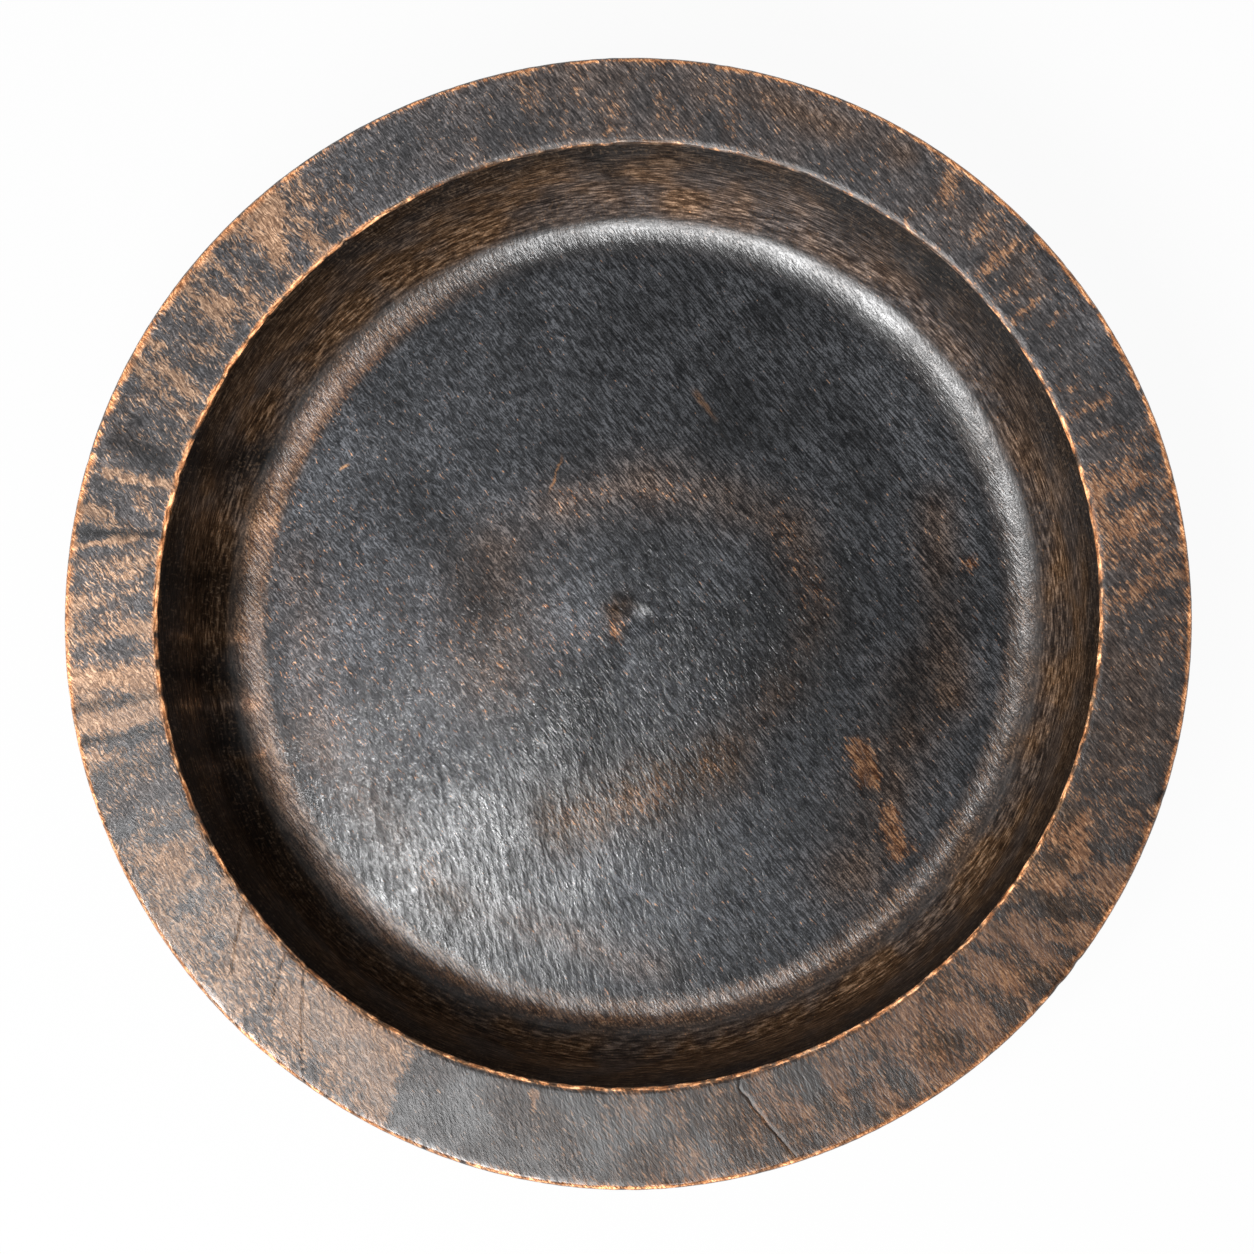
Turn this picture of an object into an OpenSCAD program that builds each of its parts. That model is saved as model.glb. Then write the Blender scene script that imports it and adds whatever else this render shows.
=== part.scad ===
// Round wooden dough bowl with a wide flat rim, turned from one block.
// Sizes are in millimetres. The foot stands on Z = 0 and the rim is centred on the Z axis.

/* [Rim] */
// Outside diameter of the rim
rim_d = 400; // [372:1:480]
// Height of the whole bowl, from the table to the top of the rim
bowl_h = 72; // [62:0.5:110]
// Thickness of the rim at its outer edge
rim_t = 14; // [10:0.5:24]
// Rounding of the rim's upper outer edge
rim_top_r = 2; // [0.5:0.1:4]
// Rounding of the rim's lower outer edge
rim_low_r = 4; // [1:0.1:6]

/* [Hollow] */
// Diameter of the mouth, at the inner edge of the rim
mouth_d = 334; // [300:0.2:350]
// Lean of the wall away from upright, in degrees
wall_lean = 9; // [4:1:24]
// Radius of the cove between the wall and the floor
cove_r = 19; // [8:0.5:28]
// Thickness of the floor, above the recess in the foot
floor_t = 14; // [8:0.5:22]
// Width of the worn bevel around the mouth
lip_w = 2.4; // [1:0.1:5]
// Fall of the worn bevel towards the mouth, in degrees
lip_fall = 12; // [6:1:25]
// Rounding between the bevel and the wall
lip_r = 1.5; // [0.5:0.1:4]
// Shift of the hollow from the centre of the rim, along X
hollow_shift_x = 1.5; // [-3:0.1:3]
// Shift of the hollow from the centre of the rim, along Y
hollow_shift_y = 2.3; // [-3:0.1:3]

/* [Outside] */
// Thickness of the wall, square to its face
wall_t = 14; // [10:0.5:18]
// Radius of the hollow curve under the rim
under_rim_r = 14; // [4:0.5:18]
// Radius of the heel, where the side turns in to the foot
heel_r = 26; // [12:0.5:40]

/* [Foot] */
// Width of the flat ring that the bowl stands on
foot_ring_w = 22; // [10:1:40]
// Depth of the turned recess inside the ring
recess_depth = 2; // [1:0.1:4]
// Rounding in the corner of the recess
recess_r = 0.8; // [0.3:0.1:0.9]

/* [Centre mark] */
// Diameter of the dimple that the lathe centre left in the floor
mark_d = 12; // [6:0.5:20]
// Depth of the dimple
mark_depth = 0.8; // [0.3:0.1:2]

/* [Hidden] */
$fa = 2;
$fs = 0.8;

rim_r = rim_d / 2;
mouth_r = mouth_d / 2;
under_rim_z = bowl_h - rim_t;
floor_z = recess_depth + floor_t;

// The inner edge of the rim sits this far below the top, at the foot of the bevel
lip_z = bowl_h - lip_w * tan(lip_fall);
// How far the cutting shape of the hollow stands above the rim
clear_h = 4;
// How far a corner's sliver runs past the corner, and how much wider than its radius its arc is
overlap = 0.5;
hair = 0.002;
// Radius of the ball that leaves the dimple
mark_ball_r = (mark_d * mark_d / 4 + mark_depth * mark_depth) / (2 * mark_depth);

// Radius of the hollow's wall at height z, before its corners are rounded
function wall_in_r(z) = mouth_r - (lip_z - z) * tan(wall_lean);
// Radius of the outside at height z, the wall's thickness away
function wall_out_r(z) = wall_in_r(z) + wall_t / cos(wall_lean);

// The heel takes this much off the flat of the foot
heel_reach = heel_r * tan((90 - wall_lean) / 2);
recess_wall_r = wall_out_r(0) - heel_reach - foot_ring_w;

// The curve under the rim stops where the rounding of the rim's lower edge begins
rim_ledge = rim_r - rim_low_r - wall_out_r(under_rim_z);
under_rim_fit_r = min(under_rim_r, rim_ledge * tan((90 + wall_lean) / 2));

// Corners of the outside, from the axis out, up and back: radius, height, rounding
outside_corners = [
    [0, recess_depth, 0],
    [recess_wall_r, recess_depth, recess_r],
    [recess_wall_r, 0, 0],
    [wall_out_r(0), 0, heel_r],
    [wall_out_r(under_rim_z), under_rim_z, under_rim_fit_r],
    [rim_r, under_rim_z, rim_low_r],
    [rim_r, bowl_h, rim_top_r],
    [0, bowl_h, 0],
];

// Corners of the hollow, in the same form, carried on above the rim
hollow_corners = [
    [0, floor_z, 0],
    [wall_in_r(floor_z), floor_z, cove_r],
    [mouth_r, lip_z, lip_r],
    [mouth_r + lip_w + clear_h / tan(lip_fall), bowl_h + clear_h, 0],
    [0, bowl_h + clear_h, 0],
];

function place(corner) = [corner[0], corner[1]];
function direction(from, to) = (to - from) / norm(to - from);
// Positive where an outline that runs anticlockwise turns left, so that its corner stands proud
function turn(before, at, after) = cross(at - before, after - at);

// The sliver between a corner and the arc that rounds it, from the arc to just past the corner.
// The arc is a hair wider than r, so that it crosses both sides instead of only touching them.
module corner_sliver(before, at, after, r) {
    back = direction(at, before);
    on = direction(at, after);
    half_angle = acos(back * on) / 2;
    reach = r / tan(half_angle);
    arc_centre = at + direction([0, 0], back + on) * r / sin(half_angle);
    past_corner = at + direction(arc_centre, at) * overlap;
    difference() {
        polygon([past_corner, at + on * reach, arc_centre, at + back * reach]);
        translate(arc_centre) circle(r + hair);
    }
}

// The slivers of all the rounded corners that stand proud, or of all that lie inward
module corner_slivers(corners, proud) {
    count = len(corners);
    for (i = [0:count - 1]) {
        before = place(corners[(i + count - 1) % count]);
        at = place(corners[i]);
        after = place(corners[(i + 1) % count]);
        r = corners[i][2];
        if (r > 0 && proud && turn(before, at, after) > 0)
            corner_sliver(before, at, after, r);
        if (r > 0 && !proud && turn(before, at, after) < 0)
            corner_sliver(after, at, before, r);
    }
}

// A half section with its corners rounded by true arcs
module half_section(corners) {
    difference() {
        union() {
            polygon([for (corner = corners) place(corner)]);
            corner_slivers(corners, proud = false);
        }
        corner_slivers(corners, proud = true);
    }
}

// The dimple in the floor, as the part of the ball's half section that lies to one side of the axis
module mark_section() {
    intersection() {
        translate([0, floor_z - mark_depth + mark_ball_r]) circle(mark_ball_r);
        translate([0, floor_z - mark_depth]) square([mark_d, mark_ball_r]);
    }
}

// What the turner cut out of the block: floor, cove, wall, bevel and centre mark
module hollow() {
    rotate_extrude() {
        half_section(hollow_corners);
        mark_section();
    }
}

module bowl() {
    color("#3d342e")
    difference() {
        rotate_extrude() half_section(outside_corners);
        translate([hollow_shift_x, hollow_shift_y, 0]) hollow();
    }
}

bowl();
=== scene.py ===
"""Dough bowl: a turned hardwood bowl with a wide rim, stained charcoal, waxed and worn."""

import logging
import math
from dataclasses import dataclass, field
from enum import Enum, IntEnum
from functools import partial

import bpy
import numpy as np
from mathutils import Matrix, Vector


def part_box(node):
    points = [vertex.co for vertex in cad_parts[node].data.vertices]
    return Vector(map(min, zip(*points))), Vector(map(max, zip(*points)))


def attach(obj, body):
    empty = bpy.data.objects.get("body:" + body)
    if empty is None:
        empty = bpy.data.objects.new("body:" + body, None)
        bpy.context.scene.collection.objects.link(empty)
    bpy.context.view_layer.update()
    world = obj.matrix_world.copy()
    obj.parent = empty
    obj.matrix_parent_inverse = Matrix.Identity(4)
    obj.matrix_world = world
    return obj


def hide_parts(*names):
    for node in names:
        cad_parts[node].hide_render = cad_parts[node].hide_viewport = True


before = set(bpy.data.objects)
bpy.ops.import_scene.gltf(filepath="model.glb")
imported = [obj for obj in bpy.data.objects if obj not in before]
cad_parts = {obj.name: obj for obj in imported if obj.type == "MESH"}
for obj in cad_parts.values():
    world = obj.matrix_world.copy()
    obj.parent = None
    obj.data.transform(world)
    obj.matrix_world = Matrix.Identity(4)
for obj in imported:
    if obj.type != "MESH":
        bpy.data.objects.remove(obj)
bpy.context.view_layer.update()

log = logging.getLogger("dough_bowl")

MM = 0.001
Array = np.ndarray
Spot = tuple[float, float]
Knots = tuple[tuple[float, float], ...]
Stops = tuple[tuple[float, tuple[float, float, float]], ...]
Socket = bpy.types.NodeSocket


class Zone(IntEnum):
    """Stretches of the bowl's section, from the middle of the floor round to the middle of the foot."""

    FLOOR = 0
    COVE = 1
    WALL = 2
    ARRIS = 3
    BEVEL = 4
    CROWN = 5
    RIM = 6
    EDGE = 7
    BAND = 8
    LOWER_EDGE = 9
    LEDGE = 10
    NECK = 11
    SIDE = 12
    HEEL = 13
    FOOT = 14
    RECESS = 15


class Wear(Enum):
    """Ways in which the finish has changed, each kept as a number at every point of the mesh; the soot value
    also carries painted shade and painted light.
    """

    BARE = "bare"
    BROWN = "brown"
    # Soot, and also painted shade and painted light; below zero it lightens.
    SOOT = "soot"


class Pole(Enum):
    """Axes about which marks are placed."""

    RIM = (0.0, 0.0)
    HOLLOW = (1.5, 2.3)


@dataclass(frozen=True)
class Corner:
    """One corner of the half section, with the straight stretch that leads up to it.

    Attributes:
        r: Distance from the axis, in mm.
        z: Height above the table, in mm.
        lead: Zone of the straight stretch.
        lead_rings: Rings of the mesh along that stretch.
        rounding: Radius of the arc that rounds the corner, in mm.
        arc: Zone of that arc.
        arc_rings: Rings of the mesh along the arc.
    """

    r: float
    z: float
    lead: Zone
    lead_rings: int
    rounding: float = 0.0
    arc: Zone = Zone.FLOOR
    arc_rings: int = 0


@dataclass(frozen=True)
class Outline:
    """The half section as points, one for each ring of the mesh.

    Attributes:
        r: Distances from the axis, in mm.
        z: Heights, in mm.
        run: Lengths along the section from the middle of the floor, in mm.
        zone: Zone of each point.
        share: How far along its zone each point lies, from 0 to 1.
    """

    r: Array
    z: Array
    run: Array
    zone: Array
    share: Array


def step(values: Array, low: float, high: float) -> Array:
    """Rise smoothly from 0 at low to 1 at high.

    Args:
        values: Numbers to test.
        low: Where the rise starts.
        high: Where it ends, which may lie below low.

    Returns:
        Numbers from 0 to 1.
    """
    t = np.clip((values - low) / (high - low), 0.0, 1.0)
    return t * t * (3.0 - 2.0 * t)


def around(degrees: Array, knots: Knots) -> Array:
    """Read a value that is set at a few angles and runs smoothly round the bowl between them.

    Args:
        degrees: Angles, in degrees.
        knots: Pairs of angle and value, in rising order.

    Returns:
        The value at each angle.
    """
    angles, values = zip(*knots)
    return np.interp(degrees, angles, values, period=360.0)


def away(degrees: Array, centre: float) -> Array:
    """Give the signed angle from a centre, in degrees from -180 to 180."""
    return (degrees - centre + 180.0) % 360.0 - 180.0


def bell(offset: Array, width: float) -> Array:
    """Fall off smoothly from 1 where the offset is 0 to about a third at a width."""
    return np.exp(-((offset / width) ** 2))


@dataclass(frozen=True)
class Wander:
    """A smooth random field over the plane, made of waves in seeded directions.

    Attributes:
        length: Mean wavelength, in mm.
        seed: Seed of the directions and phases.
        waves: Number of waves.
    """

    length: float
    seed: int
    waves: int = 14

    def at(self, x: Array, y: Array) -> Array:
        """Give the field at points of the plane.

        Args:
            x: First coordinates, in mm.
            y: Second coordinates, in mm.

        Returns:
            Values about 0, mostly between -2 and 2.
        """
        draw = np.random.default_rng(self.seed)
        heading = draw.uniform(0.0, math.tau, self.waves)
        number = math.tau / self.length * draw.uniform(0.6, 1.6, self.waves)
        phase = draw.uniform(0.0, math.tau, self.waves)
        total = np.zeros_like(x)
        for turn, rate, start in zip(heading, number, phase):
            total += np.sin(rate * (x * math.cos(turn) + y * math.sin(turn)) + start)
        return total * math.sqrt(2.0 / self.waves)


@dataclass(frozen=True)
class Section:
    """The half section of the bowl, in mm, with its corners rounded by arcs.

    The rim's radius and the height come from the frame. The rest repeat the part's own sizes.
    """

    rim_r: float
    bowl_h: float
    rim_t: float = 14.0
    rim_top_r: float = 2.0
    rim_low_r: float = 4.0
    mouth_r: float = 167.0
    wall_lean: float = math.radians(9.0)
    cove_r: float = 19.0
    floor_z: float = 16.0
    lip_w: float = 2.4
    lip_fall: float = math.radians(12.0)
    lip_r: float = 1.5
    crown_r: float = 4.0
    wall_t: float = 14.0
    neck_r: float = 14.0
    heel_r: float = 26.0
    foot_w: float = 22.0
    foot_edge_r: float = 0.5
    recess_z: float = 2.0
    recess_r: float = 0.8
    mark_area_r: float = 12.0

    def lip_z(self) -> float:
        """Give the height of the foot of the bevel."""
        return self.bowl_h - self.lip_w * math.tan(self.lip_fall)

    def wall_in(self, z: float) -> float:
        """Give the hollow's radius at a height, before its corners are rounded."""
        return self.mouth_r - (self.lip_z() - z) * math.tan(self.wall_lean)

    def wall_out(self, z: float) -> float:
        """Give the outside's radius at a height, a wall's thickness away."""
        return self.wall_in(z) + self.wall_t / math.cos(self.wall_lean)

    def corners(self) -> list[Corner]:
        """List the corners from the middle of the floor round to the middle of the foot.

        Returns:
            The corners, each with its stretch, rounding and number of rings.
        """
        under = self.bowl_h - self.rim_t
        heel_reach = self.heel_r * math.tan((math.pi / 2 - self.wall_lean) / 2)
        recess_wall = self.wall_out(0.0) - heel_reach - self.foot_w
        ledge = self.rim_r - self.rim_low_r - self.wall_out(under)
        neck = min(self.neck_r, 0.98 * ledge * math.tan((math.pi / 2 + self.wall_lean) / 2))
        return [
            Corner(0.0, self.floor_z, Zone.FLOOR, 0),
            Corner(self.mark_area_r, self.floor_z, Zone.FLOOR, 15),
            Corner(self.wall_in(self.floor_z), self.floor_z, Zone.FLOOR, 54, self.cove_r, Zone.COVE, 15),
            Corner(self.mouth_r, self.lip_z(), Zone.WALL, 14, self.lip_r, Zone.ARRIS, 5),
            Corner(self.mouth_r + self.lip_w, self.bowl_h, Zone.BEVEL, 2, self.crown_r, Zone.CROWN, 2),
            Corner(self.rim_r, self.bowl_h, Zone.RIM, 15, self.rim_top_r, Zone.EDGE, 6),
            Corner(self.rim_r, under, Zone.BAND, 4, self.rim_low_r, Zone.LOWER_EDGE, 5),
            Corner(self.wall_out(under), under, Zone.LEDGE, 2, neck, Zone.NECK, 8),
            Corner(self.wall_out(0.0), 0.0, Zone.SIDE, 8, self.heel_r, Zone.HEEL, 9),
            Corner(recess_wall, 0.0, Zone.FOOT, 7, self.foot_edge_r, Zone.FOOT, 3),
            Corner(recess_wall, self.recess_z, Zone.RECESS, 1, self.recess_r, Zone.RECESS, 4),
            Corner(0.0, self.recess_z, Zone.RECESS, 28),
        ]

    @staticmethod
    def arc(before: Array, at: Array, after: Array, radius: float, rings: int) -> Array:
        """Round a corner.

        Args:
            before: The corner before it.
            at: The corner itself.
            after: The corner after it.
            radius: Radius of the rounding.
            rings: Number of steps along the arc.

        Returns:
            The points of the arc, from its start to its end.
        """
        back = (before - at) / np.linalg.norm(before - at)
        on = (after - at) / np.linalg.norm(after - at)
        half = math.acos(float(back @ on)) / 2
        middle = (back + on) / np.linalg.norm(back + on)
        centre = at + middle * radius / math.sin(half)
        start = at + back * radius / math.tan(half) - centre
        first = math.atan2(start[1], start[0])
        end = at + on * radius / math.tan(half) - centre
        turn = math.atan2(start[0] * end[1] - start[1] * end[0], float(start @ end))
        angles = first + turn * np.arange(rings + 1) / rings
        return centre + radius * np.stack([np.cos(angles), np.sin(angles)], 1)

    def outline(self) -> Outline:
        """Work out the points of the section.

        Returns:
            The outline, with one point for each ring.
        """
        corners = self.corners()
        places = [np.array([c.r, c.z]) for c in corners]
        points = [places[0]]
        zones = [Zone.FLOOR]
        shares = [0.0]
        for i in range(1, len(corners)):
            corner = corners[i]
            curve = places[i][None, :]
            if corner.rounding:
                curve = self.arc(places[i - 1], places[i], places[i + 1], corner.rounding, corner.arc_rings)
            begin = points[-1]
            for k in range(1, corner.lead_rings + 1):
                share = k / corner.lead_rings
                points.append(begin + (curve[0] - begin) * share)
                zones.append(corner.lead)
                shares.append(share)
            for k in range(1, len(curve)):
                points.append(curve[k])
                zones.append(corner.arc)
                shares.append(k / corner.arc_rings)
        line = np.array(points)
        lengths = np.linalg.norm(np.diff(line, axis=0), axis=1)
        run = np.concatenate([[0.0], np.cumsum(lengths)])
        return Outline(line[:, 0], line[:, 1], run, np.array(zones, int), np.array(shares))


@dataclass(frozen=True)
class Corners:
    """Where each corner of each face lies.

    Attributes:
        ring: Its ring.
        turn: Its share of a full turn.
        band: The first ring of its face.
        second: True where its face lies in the second half turn.
    """

    ring: Array
    turn: Array
    band: Array
    second: Array


@dataclass
class Lathe:
    """Rings of points about an axis, with fewer points where the rings are small or out of sight.

    Attributes:
        outline: The section that is turned.
        fine: Points on each ring of the rim.
        broad: Points on the large rings elsewhere.
        pitch: Least distance between points on a ring, in mm.
        fewest: Rings with no more points than this keep them all.
        band_top: Share of the band that still has half the rim's points.
        count: Points on each ring.
        start: Number of each ring's first point.
        ring: Ring of each point.
        turn: Place of each point, as a share of a full turn.
    """

    outline: Outline
    fine: int = 1440
    broad: int = 360
    pitch: float = 0.55
    fewest: int = 45
    band_top: float = 0.3
    count: Array = field(init=False)
    start: Array = field(init=False)
    ring: Array = field(init=False)
    turn: Array = field(init=False)

    def __post_init__(self) -> None:
        """Count the points of each ring and number them."""
        counts = []
        for r, zone, share in zip(self.outline.r, self.outline.zone, self.outline.share):
            n = self.fine if Zone.ARRIS <= zone <= Zone.EDGE else self.broad
            if (zone == Zone.WALL and share == 1.0) or (zone == Zone.BAND and share < self.band_top):
                n = self.fine // 2
            while n > self.fewest and math.tau * r / n < self.pitch:
                n //= 2
            counts.append(n if r > 0.0 else 1)
        self.count = np.array(counts)
        self.start = np.concatenate([[0], np.cumsum(self.count)[:-1]])
        self.ring = np.repeat(np.arange(len(counts)), self.count)
        self.turn = (np.arange(self.count.sum()) - self.start[self.ring]) / self.count[self.ring]

    def corner(self, ring: int, column: Array) -> tuple[Array, Array, Array]:
        """Give the point numbers, ring numbers and turns of some columns of a ring."""
        n = self.count[ring]
        return self.start[ring] + column % n, np.full(len(column), ring), column / n

    def bridge(self, ring: int) -> list[list[tuple[Array, Array, Array]]]:
        """Join a ring to the next one.

        Args:
            ring: Number of the first ring.

        Returns:
            Groups of faces, each a list of corners in order round the face.
        """
        n, m = self.count[ring], self.count[ring + 1]
        j = np.arange(min(n, m) if min(n, m) > 1 else max(n, m))
        a = partial(self.corner, ring)
        b = partial(self.corner, ring + 1)
        if n == 1:
            return [[a(0 * j), b(j), b(j + 1)]]
        if m == 1:
            return [[a(j), b(0 * j), a(j + 1)]]
        if n == m:
            return [[a(j), b(j), b(j + 1), a(j + 1)]]
        if n < m:
            return [
                [a(j), b(2 * j), b(2 * j + 1)],
                [a(j), b(2 * j + 1), a(j + 1)],
                [a(j + 1), b(2 * j + 1), b(2 * j + 2)],
            ]
        return [
            [a(2 * j), b(j), a(2 * j + 1)],
            [b(j), b(j + 1), a(2 * j + 1)],
            [b(j + 1), a(2 * j + 2), a(2 * j + 1)],
        ]

    def faces(self) -> tuple[list[list[int]], Corners]:
        """Join all the rings.

        Returns:
            The faces, and where every corner of every face lies, in order.
        """
        faces: list[list[int]] = []
        rings, turns, bands, halves = [], [], [], []
        for ring in range(len(self.count) - 1):
            for group in self.bridge(ring):
                corner_turns = np.stack([c[2] for c in group], 1)
                second = np.broadcast_to(corner_turns.max(1)[:, None] > 0.5, corner_turns.shape)
                faces += np.stack([c[0] for c in group], 1).tolist()
                rings.append(np.stack([c[1] for c in group], 1).ravel())
                turns.append(corner_turns.ravel())
                bands.append(np.full(corner_turns.size, ring))
                halves.append(second.ravel())
        return faces, Corners(*(np.concatenate(v) for v in (rings, turns, bands, halves)))


@dataclass(frozen=True)
class Nick:
    """A small notch or swelling on one of the bowl's edges.

    Attributes:
        angle: Where it lies, in degrees.
        width: Half its width, in degrees.
        depth: How far the edge stands back there, in mm.
    """

    angle: float
    width: float
    depth: float

    def at(self, degrees: Array) -> Array:
        """Give how far the edge stands back at each angle, in mm."""
        return self.depth * bell(away(degrees, self.angle), self.width)


@dataclass(frozen=True)
class Crack:
    """A drying crack across the rim, cut as a narrow groove.

    Attributes:
        inner: Angle in degrees and radius in mm of its inner end.
        outer: Angle and radius of its outer end.
        width: Width of the groove, in mm.
        depth: Depth of the groove, in mm.
    """

    inner: Spot
    outer: Spot
    width: float = 0.45
    depth: float = 0.3

    def angle(self, r: float) -> float:
        """Give its wavering angle at a radius, held at its ends."""
        straight = np.interp(r, (self.inner[1], self.outer[1]), (self.inner[0], self.outer[0]))
        return float(straight + 0.10 * math.sin(0.9 * r) + 0.07 * math.sin(2.3 * r))

    def presence(self, r: Array) -> Array:
        """Give 1 along the crack and 0 past its ends."""
        fade = 3.0
        return step(r, self.inner[1] - fade, self.inner[1]) * step(r, self.outer[1] + fade, self.outer[1])


@dataclass(frozen=True)
class Mark:
    """A worn, stained or darkened streak with soft edges, or a patch of painted light or shade.

    Attributes:
        wear: What it changes.
        start: Angle in degrees and radius in mm of one end.
        end: Angle and radius of the other end.
        width: Half its width, in mm.
        amount: How strong it is.
        pole: The axis that its ends are measured about.
    """

    wear: Wear
    start: Spot
    end: Spot
    width: float
    amount: float
    pole: Pole

    def at(self, x: Array, y: Array) -> Array:
        """Give its strength at points of the plan.

        Args:
            x: First coordinates, in mm.
            y: Second coordinates, in mm.

        Returns:
            Strengths, which fall off from the streak's middle line.
        """
        ends = []
        for angle, radius in (self.start, self.end):
            turn = math.radians(angle)
            ends.append(np.array([radius * math.cos(turn), radius * math.sin(turn)]) + self.pole.value)
        way = ends[1] - ends[0]
        reach = max(float(way @ way), 1e-9)
        along = np.clip(((x - ends[0][0]) * way[0] + (y - ends[0][1]) * way[1]) / reach, 0.0, 1.0)
        gap = np.hypot(x - ends[0][0] - along * way[0], y - ends[0][1] - along * way[1])
        return self.amount * bell(gap, self.width)


def rim_marks() -> list[Mark]:
    """List the streaks across the rim, anticlockwise from the right.

    Returns:
        The marks, placed about the rim's own axis.
    """
    bare = (
        ((5, 185), (15, 181), 9.0, 0.20), ((10, 174), (17, 173), 2.5, 0.30),
        ((21, 174), (21, 186), 1.4, 0.25), ((24, 171), (24.3, 187), 2.2, 0.35),
        ((27, 176), (27, 181), 1.2, 0.25), ((34.3, 182), (34.6, 194), 1.6, 0.22),
        ((37, 172), (37.2, 185), 1.6, 0.28), ((39.8, 174), (39.6, 189), 2.0, 0.28),
        ((43.6, 176), (43.3, 192), 2.2, 0.30), ((46.5, 181), (47.5, 193), 2.2, 0.25),
        ((52, 188), (53.5, 198), 3.5, 0.28), ((54, 171), (53.8, 178), 1.0, 0.40),
        ((130.5, 195), (132, 180), 5.0, 0.55), ((131.6, 198), (131.9, 179), 0.8, 0.50),
        ((132.6, 198), (133, 180), 0.8, 0.50), ((138.3, 197), (138.6, 174), 1.2, 0.50),
        ((139, 196), (139.8, 196), 2.2, 0.50), ((140.9, 188), (141.1, 176), 0.9, 0.45),
        ((142.3, 196), (143, 173), 0.9, 0.40), ((149, 197), (149.2, 192), 2.0, 0.50),
        ((150.5, 189), (152, 173), 2.2, 0.35), ((152.3, 196), (154.5, 172), 1.5, 0.30),
        ((163.8, 192), (163.2, 169), 1.8, 0.60), ((165.5, 179), (168, 170), 2.0, 0.45),
        ((168, 196), (168, 186), 1.2, 0.50), ((172, 197), (170.2, 176), 1.2, 0.80),
        ((186, 197), (186.8, 172), 3.5, 0.55), ((190.8, 197), (191.2, 174), 2.2, 0.50),
        ((194.4, 196), (194.6, 186), 1.5, 0.40), ((206, 194), (211, 178), 5.0, 0.35),
        ((217, 170), (222, 186), 3.0, 0.35), ((231, 178), (241, 180), 8.0, 0.50),
        ((234, 172), (243, 171), 3.0, 0.45), ((260, 170), (260.3, 174), 1.2, 1.20),
        ((260.2, 176), (261.5, 192), 1.5, 0.30), ((303, 180), (318, 182), 14.0, 0.15),
        ((316.8, 172), (317.4, 198), 0.8, 0.50), ((329, 178), (333, 182), 2.5, 0.50),
        ((334, 180), (337, 177), 2.5, 0.70),
    )
    soot = (
        ((160.5, 175), (160, 192), 4.0, 0.60), ((169.3, 170), (170.7, 197), 1.4, 0.70),
        ((156.5, 196), (157.5, 186), 0.9, 0.50), ((189, 170), (189, 198), 1.6, 0.60),
        ((193.2, 170), (192.6, 198), 1.1, 0.80), ((197, 172), (196.5, 198), 3.0, 0.35),
        ((245.4, 168), (245.8, 198), 0.7, 0.60), ((302.5, 170), (302.3, 195), 0.8, 0.40),
        ((314.9, 174), (314.2, 198), 0.8, 0.50), ((321.2, 168), (320.8, 198), 0.8, 0.60),
        ((325, 168), (322.5, 196), 0.9, 0.35), ((329, 170), (325, 196), 1.0, 0.30),
        ((332.5, 172), (328.5, 196), 1.0, 0.30), ((319.6, 199), (321.4, 199.5), 1.3, 1.10),
        ((323.0, 199), (324.3, 199.5), 1.3, 1.10), ((341.5, 199), (342.5, 199.5), 1.0, 0.80),
    )
    brown = (
        ((22, 184), (40, 182), 8.0, 0.12), ((40, 188), (52, 190), 7.0, 0.22),
        ((58, 192), (76, 191), 6.0, 0.28), ((80, 190), (100, 190), 7.0, 0.10),
    )
    groups = {Wear.BARE: bare, Wear.BROWN: brown, Wear.SOOT: soot}
    return [Mark(wear, *row, Pole.RIM) for wear, rows in groups.items() for row in rows]


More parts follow.
